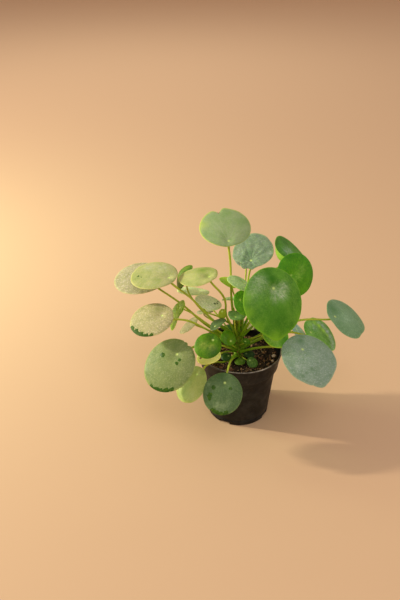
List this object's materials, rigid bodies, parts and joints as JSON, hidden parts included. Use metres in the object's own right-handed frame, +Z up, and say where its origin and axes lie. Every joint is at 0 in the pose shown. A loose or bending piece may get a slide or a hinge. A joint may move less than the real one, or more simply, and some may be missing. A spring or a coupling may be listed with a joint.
{
  "type": "potted pilea plant",
  "caption": "House plant with round coin-like leaves on long thin stalks from one short stem, growing in soil in a tapered black nursery pot.",
  "frame": {"origin": "middle of the flat underside of the pot, where it stands on a table", "axes": "+Z up through the pot; -Y towards the side that the largest leaf faces; +X to the right of that side"},
  "size_m": [0.3541, 0.2208, 0.2949],
  "materials": {
    "leaf_fresh_green": "satin",
    "leaf_blue_green": "satin",
    "leaf_yellow_green": "satin",
    "leaf_dusty_pale": "satin",
    "leaf_grey_green": "satin",
    "leaf_dark_green": "satin",
    "stem_green_brown": "matte",
    "pot_black_plastic": "satin",
    "soil_dark_peat": "matte",
    "pebble_tan": "matte",
    "bark_orange_brown": "matte"
  },
  "bodies": {
    "root": {"leaf_top": "leaf_fresh_green", "leaf_back_right_upper": "leaf_blue_green", "leaf_right_cupped": "leaf_fresh_green", "leaf_right_glossy": "leaf_fresh_green", "leaf_front_largest": "leaf_fresh_green", "leaf_centre_high": "leaf_blue_green", "leaf_centre_high_behind": "leaf_fresh_green", "leaf_back_hidden": "leaf_blue_green", "leaf_centre_dark": "leaf_fresh_green", "leaf_centre_small": "leaf_blue_green", "leaf_young_yellow": "leaf_yellow_green", "leaf_left_inner": "leaf_yellow_green", "leaf_left_edge_on": "leaf_fresh_green", "leaf_left_upper": "leaf_yellow_green", "leaf_far_left": "leaf_dusty_pale", "leaf_left_twisted": "leaf_grey_green", "leaf_left_low": "leaf_dusty_pale", "leaf_left_back_flat": "leaf_blue_green", "leaf_left_back_pale": "leaf_dusty_pale", "leaf_left_back_small": "leaf_dusty_pale", "leaf_centre_grey": "leaf_grey_green", "leaf_left_small_blue": "leaf_blue_green", "leaf_left_low_large": "leaf_grey_green", "leaf_left_yellow": "leaf_yellow_green", "leaf_front_left_round": "leaf_fresh_green", "leaf_front_left_under": "leaf_yellow_green", "leaf_front_small_round": "leaf_fresh_green", "leaf_front_over_pot": "leaf_blue_green", "leaf_far_right": "leaf_blue_green", "leaf_right_curled": "leaf_grey_green", "leaf_right_low_large": "leaf_blue_green", "leaf_under_largest": "leaf_fresh_green", "leaf_right_back_small": "leaf_blue_green", "leaf_tiny_right": "leaf_fresh_green", "leaf_back_edge_on": "leaf_blue_green", "leaf_back_right": "leaf_grey_green", "leaf_centre_shaded": "leaf_dark_green", "leaf_centre_pale_back": "leaf_blue_green", "leaf_soil_left": "leaf_dark_green", "leaf_soil_front": "leaf_fresh_green", "leaf_soil_right": "leaf_dark_green", "leaf_soil_behind": "leaf_dark_green", "nursery_pot": "pot_black_plastic", "potting_soil": "soil_dark_peat", "main_stem": "stem_green_brown", "pebble_large": "pebble_tan", "pebble_small": "pebble_tan", "bark_chip_front": "bark_orange_brown", "bark_chip_left": "bark_orange_brown", "bark_chip_right": "bark_orange_brown", "bark_chip_back": "bark_orange_brown"}
  },
  "joints": []
}
